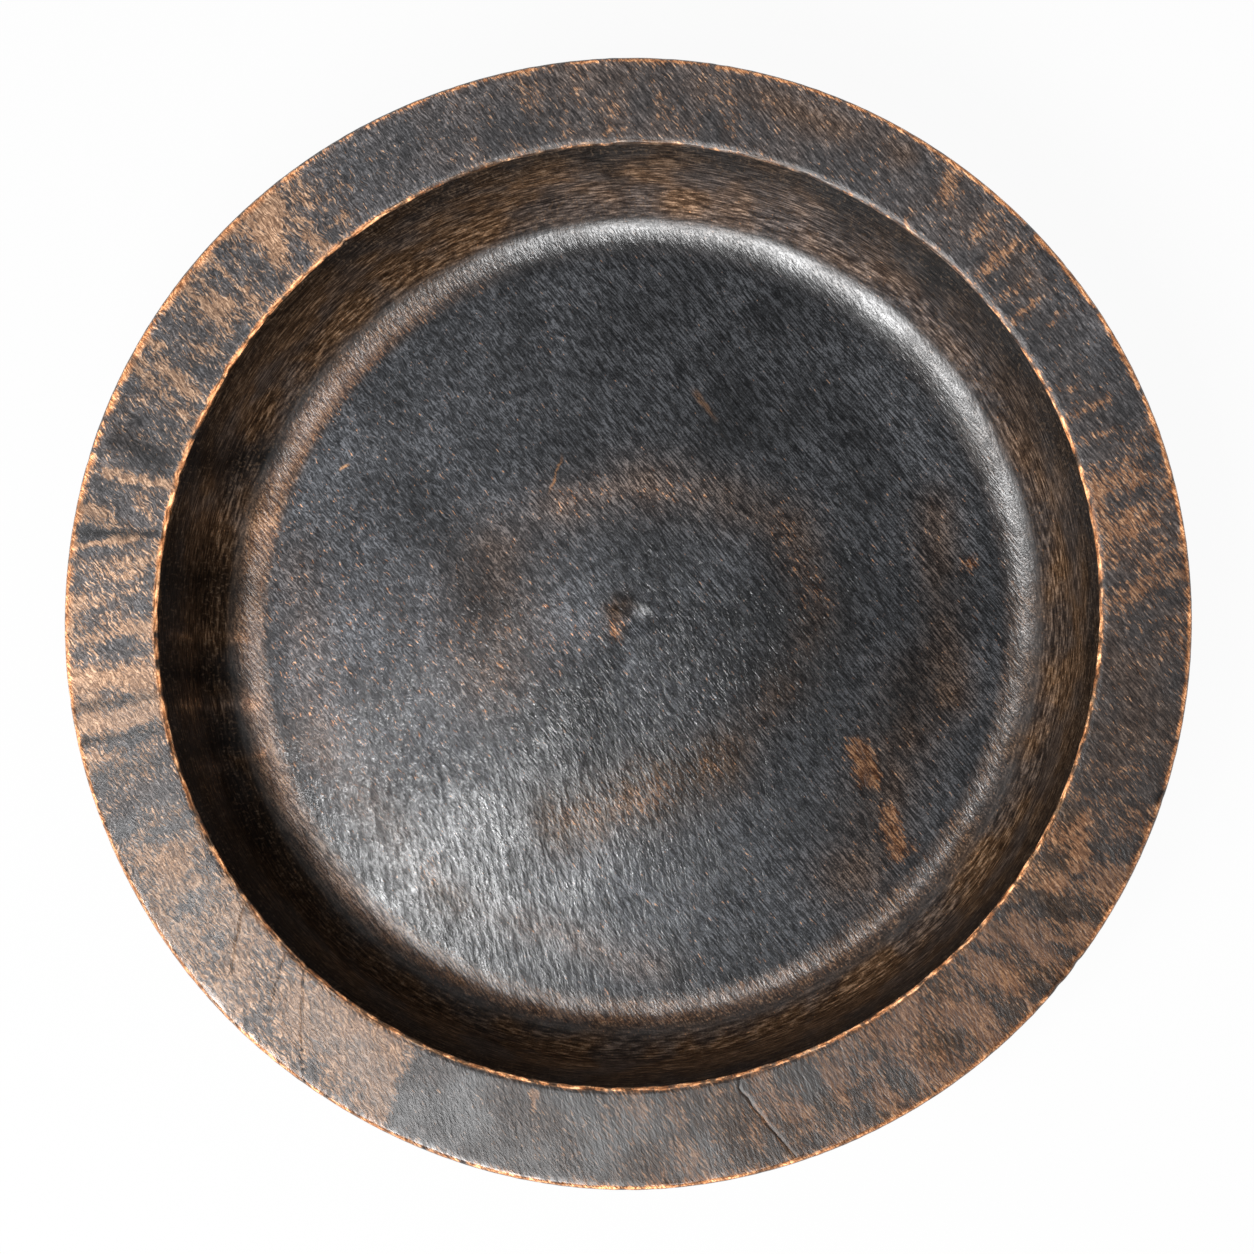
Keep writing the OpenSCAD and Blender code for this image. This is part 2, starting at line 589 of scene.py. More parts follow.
def hollow_marks() -> list[Mark]:
    """List the blots and streaks on the floor, cove and wall, with some patches of painted sheen and shade.

    Returns:
        The marks, placed about the hollow's axis.
    """
    bare = (
        ((122, 52), (104, 48), 7.0, 0.19), ((86, 48), (62, 52), 7.0, 0.17), ((36, 65), (5, 68), 7.0, 0.18),
        ((250, 80), (275, 66), 8.0, 0.20), ((275, 66), (300, 62), 6.0, 0.14),
        ((231, 122), (231, 124), 4.0, 0.35), ((329.5, 96), (325.5, 105), 3.6, 1.50),
        ((322.5, 118), (318, 130), 3.6, 0.80), ((320.5, 133), (320.5, 134), 3.0, 0.35),
        ((312, 133), (312, 134), 5.0, 0.20), ((9, 124), (9, 126), 2.0, 0.90),
        ((228, 9.8), (208, 9.0), 1.8, 0.55),
    )
    brown = (
        ((125, 50), (107, 48), 11.0, 0.40), ((84, 48), (66, 51), 12.0, 0.45),
        ((48, 57), (42, 60), 10.0, 0.30), ((30, 66), (0, 68), 10.0, 0.40), ((352, 66), (335, 62), 10.0, 0.25),
        ((335, 60), (300, 62), 10.0, 0.30), ((300, 62), (275, 66), 11.0, 0.75),
        ((275, 66), (250, 80), 12.0, 0.75), ((160, 58), (200, 57), 16.0, 0.40),
        ((345, 110), (310, 125), 14.0, 0.45), ((170, 130), (200, 130), 10.0, 0.22),
        ((200, 130), (235, 128), 10.0, 0.30), ((235, 128), (275, 132), 8.0, 0.30),
        ((20, 118), (345, 120), 8.0, 0.40), ((133, 6.5), (150, 7.0), 4.0, 0.60),
        ((215, 9.5), (170, 9.0), 3.0, 0.50),
    )
    soot = (
        ((329.5, 96), (325.5, 105), 4.5, 0.45), ((322.5, 118), (318, 130), 5.0, 0.20),
        ((150, 95), (185, 55), 9.0, 0.25), ((352, 104), (338, 106), 6.0, 0.30),
        ((160, 165), (155, 148), 3.5, 0.70), ((175, 166), (176, 150), 6.0, 0.55),
        ((187, 166), (189, 150), 2.5, 0.75), ((197, 166), (197, 152), 2.0, 0.50),
        ((208, 166), (215, 150), 10.0, 0.35), ((92, 160), (94, 166), 2.5, 0.60),
        ((20, 165), (32, 160), 6.0, 0.30), ((33, 164), (48, 164), 4.5, 0.40),
        # The last row here is painted shade that dims the lamp's sheen toward the floor's middle.
        ((48, 164), (63, 164), 4.5, 0.35), ((258, 48), (275, 54), 22.0, 0.58),
        ((165, 50), (170, 52), 20.0, 0.20), ((166, 164), (167, 146), 7.0, -0.35),
        ((182.5, 165), (183, 148), 1.5, -0.85), ((191.5, 165), (193, 148), 2.2, -0.90),
        ((199.5, 165), (200, 150), 1.2, -0.65), ((64, 160), (100, 160), 6.0, -0.15),
        ((84, 48), (64, 51), 12.0, -0.36), ((125, 50), (107, 48), 11.0, -0.32),
        # The first row here is painted sheen on the left of the floor; the second is painted glow from the
        # cove's highlight.
        ((190, 125), (205, 125), 12.0, -0.42), ((15, 126), (45, 126), 10.0, -0.25),
        # The first row here is painted glow from the cove's highlight; the second is painted shade that dims
        # the lamp's sheen.
        ((325, 128), (350, 128), 10.0, -0.20), ((330, 48), (335, 54), 16.0, 0.18),
        ((95, 35), (30, 35), 18.0, -0.12), ((298, 38), (305, 44), 14.0, -0.18),
        # The second row here is painted sheen by the lamp's sheen at the lower left.
        ((275, 68), (258, 78), 12.0, -0.14), ((232, 126), (270, 128), 9.0, -0.25),
        ((133, 6.3), (150, 7.0), 3.5, 0.35), ((280, 1.0), (280, 1.1), 4.0, -0.40),
        ((60, 80), (64, 90), 6.0, 0.25),
    )
    groups = {Wear.BARE: bare, Wear.BROWN: brown, Wear.SOOT: soot}
    return [Mark(wear, *row, Pole.HOLLOW) for wear, rows in groups.items() for row in rows]


@dataclass(frozen=True)
class WeatheringAndPaintedLight:
    """How worn, brown and dark each part of the bowl is before single marks are added, with painted light and
    shade in some of its tones.

    Knots hold pairs of angle in degrees and amount. Their names say where they lie and what they set: bare
    wood, tone for soot (on the rim, wall and floor also painted light and shade), brown in the stain, wax, or
    fresh for bare wood that is rubbed fresh. The starts and fades, low_wall and high_wall are lengths along
    the section, in mm, where a change begins and ends.

    Attributes:
        lip_at: Where on the rounding of the outer edge the bare line lies, from 0 to 1.
        shady: Middle and width of the wall's shady side, in degrees, which gets painted shade and more
            specks.
        calm: The same for the stretch of rim with few streaks.
        scraped_rim: The same for the scraped stretch of rim.
        scraped_at: Middle of the scraped part of the floor, in mm.
        scraped_reach: Its reach along X and Y, in mm.
    """

    rim_bare: Knots = (
        (0, 0.20), (5, 0.26), (15, 0.24), (20, 0.12), (30, 0.05), (45, 0.15), (60, 0.06), (75, 0.14),
        (100, 0.14), (118, 0.06), (128, 0.34), (140, 0.28), (155, 0.27), (160, 0.14), (180, 0.40),
        (188, 0.45), (198, 0.20), (210, 0.38), (220, 0.48), (245, 0.48), (246, 0.06), (260, 0.08),
        (275, 0.30), (300, 0.36), (318, 0.45), (333, 0.38), (340, 0.20), (352, 0.10),
    )
    # Rim tone by angle: partly the rim's own lighter slate, partly painted light and painted shade that
    # brighten or dim its sheen.
    rim_tone_and_painted_light: Knots = (
        (0, -0.32), (30, -0.53), (60, -0.62), (90, -0.60), (120, -0.64), (150, -0.58), (180, -0.72),
        (195, -0.68), (210, -0.47), (225, -0.52), (240, -0.37), (270, -0.03), (300, 0.0), (330, -0.14),
    )
    arris_bare: Knots = (
        (0, 0.60), (25, 0.60), (35, 0.25), (60, 0.15), (110, 0.20), (125, 0.70), (150, 0.90), (185, 0.80),
        (200, 0.60), (230, 0.40), (260, 0.45), (320, 0.45), (345, 0.40),
    )
    # Bare line on the outer edge by angle: partly worn wood, partly painted light where the edge catches the
    # lamps.
    edge_bare_and_painted_light: Knots = (
        (0, 0.70), (30, 1.15), (60, 0.76), (90, 0.38), (125, 0.36), (150, 0.78), (180, 0.84), (205, 0.50),
        (240, 0.60), (270, 1.40), (300, 0.72), (330, 0.75),
    )
    lip_at: Knots = (
        (0, 0.44), (70, 0.42), (100, 0.30), (130, 0.22), (160, 0.22), (180, 0.36), (200, 0.46), (270, 0.40),
    )
    rim_brown: Knots = (
        (0, 0.35), (30, 0.08), (60, 0.22), (90, 0.32), (120, 0.10), (240, 0.20), (270, 0.45), (300, 0.75),
        (330, 0.65),
    )
    # Wall tone by angle: partly its own stain, partly painted shade that keeps the side turned from the lamps
    # darker.
    wall_tone_and_painted_shade: Knots = (
        (0, -0.52), (30, -0.56), (60, -0.70), (90, -0.66), (120, -0.42), (150, -0.62), (180, -0.22),
        (210, -0.10), (240, -0.52), (270, -0.84), (300, -0.76), (330, -0.57),
    )
    # Floor tone by angle: partly its own stain, partly painted sheen that widens the lamp's sheen on the
    # floor, most to the left and below.
    floor_tone_and_painted_sheen: Knots = (
        (0, -0.04), (30, -0.15), (60, -0.17), (90, -0.19), (120, -0.37), (150, -0.56), (180, -0.70),
        (210, -0.42), (240, -0.08), (270, -0.55), (300, -0.30), (330, -0.14),
    )
    floor_bare: Knots = (
        (0, 0.0), (90, -0.08), (150, 0.02), (180, 0.09), (212, 0.09), (235, -0.02), (300, 0.0),
    )
    wall_brown: Knots = (
        (0, 1.0), (15, 0.80), (35, 0.45), (65, 0.60), (95, 0.80), (120, 1.0), (180, 1.0), (300, 1.0),
    )
    cove_bare: Knots = (
        (0, 0.18), (20, 0.10), (50, 0.00), (100, 0.02), (120, 0.26), (140, 0.55), (200, 0.60), (230, 0.62),
        (270, 0.52), (330, 0.22),
    )
    cove_tone: Knots = (
        (0, -0.20), (30, -0.05), (60, 0.0), (100, 0.0), (150, -0.35), (180, -0.24), (210, -0.52),
        (240, -0.32), (270, -0.32), (330, -0.12),
    )
    cove_wax: Knots = (
        (0, 1.05), (30, 1.45), (60, 1.30), (90, 0.82), (120, 0.80), (150, 0.96), (210, 1.50), (240, 0.72),
        (270, 0.75), (300, 0.75), (330, 0.70),
    )
    edge_wax: Knots = (
        (0, 0.0), (185, 0.0), (200, 0.70), (212, 0.85), (262, 0.90), (280, 0.60), (300, 0.30), (325, 0.0),
    )
    rim_fresh: Knots = (
        (0, 0.75), (20, 0.75), (40, 0.65), (100, 0.45), (120, 0.40), (150, 0.30), (190, 0.36), (215, 0.32),
        (245, 0.42), (280, 0.70), (300, 0.90), (330, 0.80),
    )
    cove_brown: Knots = (
        (0, 0.60), (30, 0.30), (60, 0.10), (100, 0.10), (130, 0.80), (200, 1.00), (300, 0.80),
    )
    floor_fades: Spot = (146.0, 134.0)
    cove_starts: Spot = (136.0, 143.0)
    cove_fades: Spot = (153.0, 145.0)
    wax_fades: Spot = (154.0, 148.0)
    wall_starts: Spot = (143.0, 158.0)
    low_wall: Spot = (150.0, 160.0)
    high_wall: Spot = (180.0, 204.0)
    shade_starts: Spot = (149.0, 156.0)
    shade_fades: Spot = (178.0, 164.0)
    polish_fades: Spot = (148.0, 154.0)
    shady: Spot = (195.0, 55.0)
    calm: Spot = (228.0, 18.0)
    scraped_rim: Spot = (226.0, 30.0)
    scraped_at: Spot = (-52.0, -98.0)
    scraped_reach: Spot = (48.0, 42.0)


@dataclass
class DoughBowl:
    """The turned bowl as one closed mesh, with its dents, cracks and worn places.

    Attributes:
        section: The section that is turned.
        shift: Place of the mouth's middle, in mm.
        floor_shift: How far the floor lies from there, in mm.
        oval: Out of roundness of the mouth, in mm, along and across the diagonals.
        mark_at: Place of the mark that the lathe's centre left, in mm.
        outline_swells: Slow swells of the rim's outline.
        arris_nicks: Nicks and burrs on the edge of the mouth.
        edge_nicks: Nicks in the rim's outer edge.
        cracks: Drying cracks across the rim.
        still_angles: Angles past the cracks where no point is moved.
        lathe: The rings of points.
    """

    section: Section
    shift: Spot = Pole.HOLLOW.value
    floor_shift: Spot = (-2.3, -3.6)
    oval: Spot = (0.27, 1.13)
    mark_at: Spot = (1.7, 1.3)
    outline_swells: tuple[Nick, ...] = (
        Nick(270, 16, -0.62), Nick(108, 23, 0.82), Nick(210, 22, 0.40), Nick(238, 14, 0.50),
        Nick(20, 18, -0.50), Nick(350, 18, -0.25), Nick(158, 14, -0.40), Nick(190, 12, -0.28),
    )
    arris_nicks: tuple[Nick, ...] = (
        Nick(91.7, 0.8, 0.5), Nick(126.5, 0.5, -0.7), Nick(140, 0.5, -0.5), Nick(147.9, 0.6, -0.6),
        Nick(162.3, 0.6, -0.7), Nick(167, 0.5, -0.4), Nick(213, 0.5, -0.5), Nick(228, 0.5, -0.4),
    )
    edge_nicks: tuple[Nick, ...] = (
        Nick(323.6, 0.45, 0.5), Nick(320.6, 0.5, 0.4), Nick(342, 0.4, 0.2),
        Nick(188, 0.4, 0.2), Nick(163, 0.4, 0.2), Nick(38, 0.4, 0.2),
    )
    cracks: tuple[Crack, ...] = (
        Crack((217.1, 168.5), (222.2, 187.5), 0.34, 0.08),
        Crack((225.0, 169.0), (228.2, 188.0), 0.28, 0.06),
        Crack((228.0, 168.5), (235.2, 197.0), 0.28, 0.06),
        Crack((284.3, 172.0), (288.6, 197.0), 0.30, 0.08),
    )
    still_angles: tuple[float, ...] = (205.0, 250.0, 272.0, 302.0)
    lathe: Lathe = field(init=False)

    def __post_init__(self) -> None:
        """Turn the section into rings of points."""
        self.lathe = Lathe(self.section.outline())

    def per_point(self, ring_values: Array) -> Array:
        """Spread a value of each ring over the ring's points."""
        return ring_values[self.lathe.ring]

    def hollow_share(self) -> Array:
        """Give 1 for points that follow the hollow, 0 for those that follow the rim's outer edge.

        Returns:
            The share at each point, which falls evenly across the rim.
        """
        zone = self.per_point(self.lathe.outline.zone)
        share = self.per_point(self.lathe.outline.share)
        return np.where(zone < Zone.RIM, 1.0, np.where(zone == Zone.RIM, 1.0 - share, 0.0))

    def zone_run(self, zone: Zone) -> float:
        """Give the section length at the middle of a zone, in mm."""
        outline = self.lathe.outline
        return float(outline.run[outline.zone == zone].mean())

    def near(self, zone: Zone, reach: float) -> Array:
        """Give 1 at the middle of a zone, falling off along the section.

        Args:
            zone: The zone.
            reach: Distance along the section at which little is left, in mm.

        Returns:
            The weight at each point.
        """
        run = self.per_point(self.lathe.outline.run)
        return bell(run - self.zone_run(zone), reach)

    def crack_columns(self, turn: Array) -> tuple[Array, Array]:
        """Move columns of points on the rim so that they follow the cracks.

        Args:
            turn: Angle of each point, in degrees.

        Returns:
            The moved angles, and how deep each point lies in a crack, in mm.
        """
        lathe = self.lathe
        pitch = 360.0 / lathe.fine
        moved = turn.copy()
        depth = np.zeros_like(turn)
        rim_ends = (167.0, 198.0)
        columns = [round(sum(crack.angle(r) for r in rim_ends) / 2 / pitch) for crack in self.cracks]
        for ring in np.flatnonzero(np.isin(lathe.outline.zone, (Zone.BEVEL, Zone.CROWN, Zone.RIM))):
            r = lathe.outline.r[ring]
            anchors = {angle: 0.0 for angle in self.still_angles}
            for crack, column in zip(self.cracks, columns):
                anchors[column * pitch] = crack.angle(r) - column * pitch
            rows = slice(lathe.start[ring], lathe.start[ring] + lathe.count[ring])
            angles = sorted(anchors)
            moved[rows] += np.interp(turn[rows], angles, [anchors[a] for a in angles])
            for crack, column in zip(self.cracks, columns):
                presence = float(crack.presence(np.array([r]))[0])
                at = lathe.start[ring] + column
                half = math.degrees(crack.width / 2 / r)
                for side in (-1, 1):
                    edge = moved[at] + side * half
                    moved[at + side] += presence * (edge - moved[at + side])
                depth[at] = presence * crack.depth
        return moved, depth

    def points(self) -> tuple[Array, Array]:
        """Place every point of the mesh.

        Returns:
            The points in mm, and how deep each lies in a crack.
        """
        section, outline = self.section, self.lathe.outline
        r, z, run = (self.per_point(v) for v in (outline.r, outline.z, outline.run))
        zone = self.per_point(outline.zone)
        degrees, depth = self.crack_columns(self.lathe.turn * 360.0)
        turn = np.radians(degrees)
        hollow = self.hollow_share()
        across, up = r * np.cos(turn), r * np.sin(turn)

        oval = self.oval[0] * np.cos(2 * turn) + self.oval[1] * np.sin(2 * turn)
        out = hollow * r / section.mouth_r * oval
        out -= (1.0 - hollow) * sum(swell.at(degrees) for swell in self.outline_swells)
        out -= self.near(Zone.ARRIS, 2.5) * sum(nick.at(degrees) for nick in self.arris_nicks)
        out += 0.06 * self.near(Zone.ARRIS, 3.0) * Wander(12.0, 3).at(across, up)
        out -= self.near(Zone.EDGE, 2.2) * sum(nick.at(degrees) for nick in self.edge_nicks)
        out += 0.03 * self.near(Zone.EDGE, 2.5) * Wander(7.0, 5).at(across, up)
        out += np.where((zone == Zone.WALL) | (zone == Zone.SIDE), 0.05, 0.0) * np.sin(run * 1.7)
        deep = np.where(zone <= Zone.ARRIS, step(z, section.bowl_h, section.floor_z), 0.0)
        x = (r + out) * np.cos(turn) + hollow * self.shift[0] + deep * self.floor_shift[0]
        y = (r + out) * np.sin(turn) + hollow * self.shift[1] + deep * self.floor_shift[1]

        floor = step(r, 150.0, 120.0) * (zone <= Zone.COVE)
        z = z + 0.05 * floor * Wander(60.0, 8).at(x, y)
        top = np.isin(zone, (Zone.BEVEL, Zone.CROWN, Zone.RIM))
        z += np.where(top, 0.05, 0.0) * Wander(30.0, 11).at(x, y)
        z -= self.dimple(x, y) * (zone == Zone.FLOOR) + depth
        return np.stack([x, y, z], 1), depth

    def dimple(self, x: Array, y: Array, radius: float = 6.0, depth: float = 0.35) -> Array:
        """Give the depth of the mark that the lathe's centre left in the floor.

        Args:
            x: First coordinates, in mm.
            y: Second coordinates, in mm.
            radius: Radius of the mark.
            depth: Depth at its middle.

        Returns:
            Depths in mm, a little below zero at the mark's raised lip.
        """
        gap = np.hypot(x - self.mark_at[0], y - self.mark_at[1]) / radius
        raised = 0.06 * bell(gap - 1.15, 0.3)
        return depth * np.where(gap < 1.0, 1.0 - gap * gap, 0.0) - raised

    def weather_and_painted_light(self, points: Array, depth: Array) -> dict[str, Array]:
        """Work out how worn, brown and dark every point is, and where light and shade are painted.

        Args:
            points: Points in mm.
            depth: Depth of each point in a crack, in mm.

        Returns:
            Named values, one number for each point.
        """
        base = WeatheringAndPaintedLight()
        outline = self.lathe.outline
        zone, share = self.per_point(outline.zone), self.per_point(outline.share)
        run = self.per_point(outline.run)
        x, y = points[:, 0], points[:, 1]
        degrees, radius = np.degrees(np.arctan2(y, x)) % 360.0, np.hypot(x, y)
        at = partial(around, degrees)

        inside = np.where(zone <= Zone.WALL, 1.0, 0.0)
        outside = (zone > Zone.EDGE).astype(float)
        on_rim = np.isin(zone, (Zone.BEVEL, Zone.CROWN, Zone.RIM, Zone.EDGE)).astype(float)
        on_floor = step(run, *base.floor_fades) * (zone <= Zone.COVE)
        on_cove = step(run, *base.cove_starts) * step(run, *base.cove_fades) * inside
        on_wall = zone == Zone.WALL
        wall = step(run, *base.wall_starts) * (zone <= Zone.ARRIS)
        shady = bell(away(degrees, base.shady[0]), base.shady[1])
        streak = 0.4 * Wander(16.0, 41).at(degrees * 3.2, radius * 0.4)
        streak += 0.2 * Wander(5.0, 42).at(degrees * 3.2, radius * 0.4)
        streak *= 1.0 - 0.75 * bell(away(degrees, base.calm[0]), base.calm[1])

        values = {wear: np.zeros(len(x)) for wear in Wear}
        bare, brown, soot = values.values()
        bare += on_rim * at(base.rim_bare) * np.clip(1.0 + streak, 0.1, 2.0)
        bare -= (0.5 - 0.65 * shady) * step(run, *base.low_wall) * on_wall
        bare += on_floor * at(base.floor_bare) + on_cove * at(base.cove_bare)
        brown += wall * at(base.wall_brown) + 0.75 * outside
        brown += on_rim * at(base.rim_brown) + on_cove * at(base.cove_brown)
        soot += wall * at(base.wall_tone_and_painted_shade) + on_floor * at(base.floor_tone_and_painted_sheen) + on_cove * at(base.cove_tone)
        soot += 0.65 * step(run, *base.high_wall) * on_wall
        # Painted shade on the wall and cove on the side turned from the lamps.
        soot += 0.28 * shady * step(run, *base.shade_starts) * step(run, *base.shade_fades) * inside
        # Points deep in a crack get painted shade, and the rim's tone by angle is partly painted light and
        # shade.
        soot += (depth > 0.02) * 0.80 + on_rim * at(base.rim_tone_and_painted_light)
        x_bent = x + 0.5 * Wander(5.0, 21).at(x, y)
        y_bent = y + 0.5 * Wander(5.0, 22).at(x, y)
        for marks, reach in ((rim_marks(), on_rim), (hollow_marks(), inside)):
            for mark in marks:
                values[mark.wear] += reach * mark.at(x_bent, y_bent)

        on_edge = zone == Zone.EDGE
        last_ring = (zone == Zone.RIM) & (share > 0.99)
        from_rim = np.where(on_edge, share, np.where(last_ring, 0.0, 9.0))
        lip_at = at(base.lip_at)
        arris = self.near(Zone.ARRIS, 1.0) * at(base.arris_bare)
        edge = bell(from_rim - lip_at, 0.28) * at(base.edge_bare_and_painted_light)
        broken = 0.36 * Wander(11.0, 31).at(x, y) + 0.26 * Wander(4.0, 32).at(x, y)
        edge_wear_and_painted_light = (1.4 * arris + 1.3 * edge) * np.clip(1.0 + broken, 0.10, 1.7)
        # Painted shade on the outer edge past the bare line, where it turns down away from the light.
        soot += 0.8 * on_edge * step(share - lip_at, 0.22, 0.5)
        # Worn edges are lighter bare wood; part of this lightening is painted light on lit stretches of edge.
        soot -= 0.55 * np.clip(edge_wear_and_painted_light, 0.0, 1.7)

        fresh = np.where(zone <= Zone.WALL, 1.0, at(base.rim_fresh))
        margin = on_edge * step(share, 0.7, 0.4) + last_ring
        polish = (1.0 - 1.6 * step(run, *base.polish_fades)) * inside
        waxed = step(run, *base.cove_starts) * step(run, *base.wax_fades) * inside
        scraped = on_floor * bell(x - base.scraped_at[0], base.scraped_reach[0])
        scraped *= bell(y - base.scraped_at[1], base.scraped_reach[1])
        scraped += on_rim * bell(away(degrees, base.scraped_rim[0]), base.scraped_rim[1])
        return {
            Wear.BARE.value: np.clip(bare, -1.0, 1.6),
            Wear.BROWN.value: np.clip(brown, 0.0, 1.0),
            Wear.SOOT.value: np.clip(soot, -1.0, 1.6),
            "edge": edge_wear_and_painted_light,
            "fresh": np.clip(fresh + 1.5 * edge_wear_and_painted_light, 0.0, 1.0),
            "fibre": np.clip(wall + outside * (zone < Zone.RECESS), 0.0, 1.0),
            "run": run * MM,
            "polish": polish + 1.25 * margin * at(base.edge_wax),
            "wax": waxed * at(base.cove_wax),
            "scraped": scraped,
            "swirl": np.maximum(step(x, 60.0, -110.0) * (on_rim + 0.7 * on_floor), 0.3 * on_rim),
        }

    def build(self) -> bpy.types.Object:
        """Make the mesh, with its values and its map.

        Returns:
            The bowl's object.
        """
        points, depth = self.points()
        faces, corners = self.lathe.faces()
        mesh = bpy.data.meshes.new("dough_bowl")
        mesh.from_pydata((points * MM).tolist(), [], faces)
        for name, amount in self.weather_and_painted_light(points, depth).items():
            layer = mesh.attributes.new(name, "FLOAT", "POINT")
            layer.data.foreach_set("value", amount.astype(np.float32))
        chart = mesh.uv_layers.new(name="OFBake")
        chart.data.foreach_set("uv", self.chart(corners).astype(np.float32).ravel())
        mesh.shade_smooth()
        mesh.validate()
        bowl = bpy.data.objects.new("dough_bowl", mesh)
        bpy.context.scene.collection.objects.link(bowl)
        return bowl

    def chart(self, corners: Corners) -> Array:
        """Lay the surface out flat.

        The upper face is a disc, the foot a small disc and the outside two strips.

        Args:
            corners: Where each corner of each face lies.

        Returns:
            Places in the unit square.
        """
        outline = self.lathe.outline
        top_end = outline.run[outline.zone == Zone.EDGE].max()
        foot_start = outline.run[outline.zone == Zone.HEEL].max()
        whole = outline.run.max()
        run, first = outline.run[corners.ring], outline.run[corners.band]
        size, strip, gap = 0.74, 0.25, 0.005
        angle = corners.turn * math.tau
        disc = np.stack([np.cos(angle), np.sin(angle)], 1)
        top = 0.5 * size + disc * (run / top_end * (0.5 * size - gap))[:, None]
        inwards = (whole - run) / (whole - foot_start)
        foot = 1.0 - 0.5 * strip + disc * (inwards * (0.5 * strip - gap))[:, None]
        across = size + gap + (run - top_end) / (foot_start - top_end) * (strip - 2 * gap)
        along = (corners.turn - 0.5 * corners.second) * 2.0 * size
        right = np.stack([across, along], 1)
        upper = np.stack([along, across], 1)
        side = np.where(corners.second[:, None], upper, right)
        return np.where((first < top_end)[:, None], top, np.where((first >= foot_start)[:, None], foot, side))


class Graph:
    """Adds nodes to a tree and links them."""

    def __init__(self, tree: bpy.types.NodeTree) -> None:
        """Take a tree and clear it."""
        self.tree = tree
        tree.nodes.clear()

    def node(self, kind: str, inputs: dict | None = None, **settings: object) -> bpy.types.Node:
        """Add a node.

        Args:
            kind: Type of the node, without its usual prefix.
            inputs: Values or sockets for its inputs, by name or number.
            settings: Its own properties.

        Returns:
            The node.
        """
        made = self.tree.nodes.new("ShaderNode" + kind)
        for name, value in settings.items():
            setattr(made, name, value)
        for name, value in (inputs or {}).items():
            if isinstance(value, Socket):
                self.tree.links.new(value, made.inputs[name])
            else:
                made.inputs[name].default_value = value
        return made

    def math(self, operation: str, *values: Socket | float) -> Socket:
        """Combine numbers."""
        return self.node("Math", dict(enumerate(values)), operation=operation).outputs[0]

    def times(self, first: Socket, second: Socket | float) -> Socket:
        """Multiply two numbers."""
        return self.math("MULTIPLY", first, second)

    def line(self, value: Socket, slope: Socket | float, start: Socket | float) -> Socket:
        """Multiply a number by a slope and add a start."""
        return self.math("MULTIPLY_ADD", value, slope, start)

    def gap(self, first: Socket, second: Socket | float) -> Socket:
        """Give the distance between two numbers."""
        return self.math("ABSOLUTE", self.math("SUBTRACT", first, second))

    def vector(self, operation: str, *values: Socket | tuple) -> Socket:
        """Combine vectors."""
        return self.node("VectorMath", dict(enumerate(values)), operation=operation).outputs[0]

    def scale(self, vector: Socket, factor: Socket | float) -> Socket:
        """Stretch a vector, or dim a colour."""
        return self.node("VectorMath", {0: vector, "Scale": factor}, operation="SCALE").outputs[0]

    def measure(self, vector: Socket, way: Vector | tuple) -> Socket:
        """Measure a vector along a way of length 1."""
        return self.node("VectorMath", {0: vector, 1: way}, operation="DOT_PRODUCT").outputs["Value"]

    def value(self, name: str) -> Socket:
        """Read one of the mesh's own values."""
        return self.node("Attribute", attribute_name=name).outputs["Fac"]

    def noise(self, place: Socket, scale: float, detail: float, roughness: float = 0.5) -> bpy.types.Node:
        """Add a cloudy pattern."""
        inputs = {"Vector": place, "Scale": scale, "Detail": detail, "Roughness": roughness}
        return self.node("TexNoise", inputs)

    def ease(self, value: Socket, low: float, high: float, bottom: float = 0.0, top: float = 1.0) -> Socket:
        """Rise smoothly from bottom to top as a value goes from low to high."""
        inputs = {"Value": value, "From Min": low, "From Max": high, "To Min": bottom, "To Max": top}
        return self.node("MapRange", inputs, interpolation_type="SMOOTHSTEP").outputs[0]

    def blend(self, factor: Socket, first: Socket | float, second: Socket | float) -> Socket:
        """Go from one number to another."""
        return self.node("Mix", {0: factor, 2: first, 3: second}, data_type="FLOAT").outputs[0]

    def tint(self, factor: Socket, first: Socket, second: Socket | tuple) -> Socket:
        """Go from one colour to another."""
        return self.node("Mix", {0: factor, 6: first, 7: second}, data_type="RGBA").outputs[2]

    def ramp(self, value: Socket, stops: Stops) -> Socket:
        """Turn a number into a colour.

        Args:
            value: The number.
            stops: Pairs of number and colour, in rising order.

        Returns:
            The colour.
        """
        made = self.node("ValToRGB", {0: value})
        points = made.color_ramp.elements
        while len(points) < len(stops):
            points.new(1.0)
        for point, (place, colour) in zip(points, stops):
            point.position = place
            point.color = (*colour, 1.0)
        return made.outputs[0]


